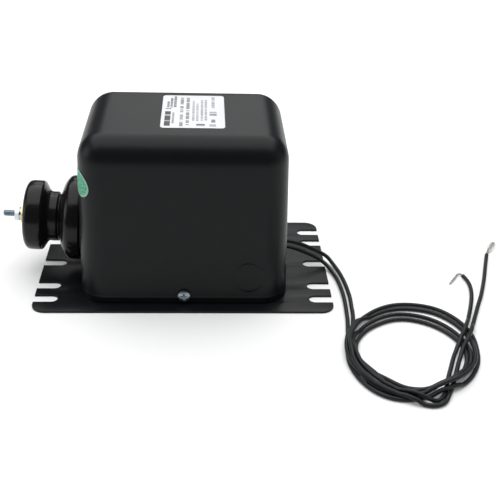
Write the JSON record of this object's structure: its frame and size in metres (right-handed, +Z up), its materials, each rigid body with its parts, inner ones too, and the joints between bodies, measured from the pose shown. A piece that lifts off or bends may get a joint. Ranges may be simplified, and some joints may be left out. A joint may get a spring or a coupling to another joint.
{
  "type": "burner ignition transformer",
  "caption": "Potted ignition transformer: black steel can on a slotted base plate, porcelain high-voltage bushing with threaded terminal and two loose primary leads.",
  "frame": {"origin": "centre of the base plate's underside, on the surface that the part stands on", "axes": "+Z up through the can, +X along the plate's length towards the lead end (-X is the high-voltage bushing), +Y across the plate's width, away from the wall with the front screw"},
  "size_m": [0.3657, 0.2235, 0.1182],
  "materials": {
    "black_paint": "satin",
    "zinc_plate": "bright zinc plate",
    "bare_brass": "plain turned",
    "glazed_porcelain": "gloss black glaze",
    "black_rubber": "matt",
    "spring_steel": "oiled",
    "tinned_copper": "tinned",
    "black_nylon": "moulded",
    "black_lead": "extruded PVC",
    "core_steel": "stacked laminations",
    "form_board": "pressed board",
    "magnet_wire": "enamelled copper wire",
    "splice_sleeve": "nylon sleeve",
    "potting_asphalt": "poured asphalt",
    "label_film": "satin label film",
    "green_sticker": "satin label film"
  },
  "bodies": {
    "transformer": {"base_insulator": "form_board", "base_plate": "black_paint", "bushing_gasket": "black_rubber", "bushing_retainer": "spring_steel", "case_shell": "black_paint", "core_band": "zinc_plate", "core_bar_i": "core_steel", "core_spacer_left": "form_board", "core_spacer_right": "form_board", "core_stack_e": "core_steel", "front_case_screw": "zinc_plate", "front_knockout": "black_paint", "ground_lead": "magnet_wire", "ground_lug": "tinned_copper", "ground_nut": "zinc_plate", "high_voltage_lead": "black_lead", "high_voltage_lug": "tinned_copper", "hv_bushing": "glazed_porcelain", "inner_lead_a": "black_lead", "inner_lead_b": "black_lead", "lead_a_strands": "tinned_copper", "lead_b_strands": "tinned_copper", "lead_bushing": "black_nylon", "lead_coil": "black_lead", "magnetic_shunt_front": "core_steel", "magnetic_shunt_rear": "core_steel", "potting_compound": "potting_asphalt", "primary_form": "form_board", "primary_lead_a": "black_lead", "primary_lead_a_tail": "black_lead", "primary_lead_b": "black_lead", "primary_lead_b_tail": "black_lead", "primary_tail_a": "magnet_wire", "primary_tail_b": "magnet_wire", "primary_winding": "magnet_wire", "rating_label": "label_film", "rear_case_screw": "zinc_plate", "rear_knockout": "black_paint", "secondary_form": "form_board", "secondary_winding": "magnet_wire", "splice_a": "splice_sleeve", "splice_b": "splice_sleeve", "stud_inner_nut": "bare_brass", "stud_inner_washer": "bare_brass", "terminal_seat_nut": "bare_brass", "terminal_stud": "zinc_plate", "test_sticker": "green_sticker"},
    "washer": {"terminal_washer": "zinc_plate"},
    "nut": {"terminal_nut": "zinc_plate"}
  },
  "joints": [
    {"name": "nut_travel", "type": "slide", "parent": "transformer", "child": "washer", "axis": [-0.9981, 0, 0.061], "range_m": [0, 0.00773]},
    {"name": "nut_turn", "type": "hinge", "parent": "washer", "child": "nut", "pos_m": [-0.11697, 0, 0.04112], "axis": [-0.9981, 0, 0.061], "range_deg": [0, 3510]}
  ],
  "couplings": [
    {"joint": "nut_turn", "follows": "nut_travel", "rad_per_m": 7915.8}
  ]
}
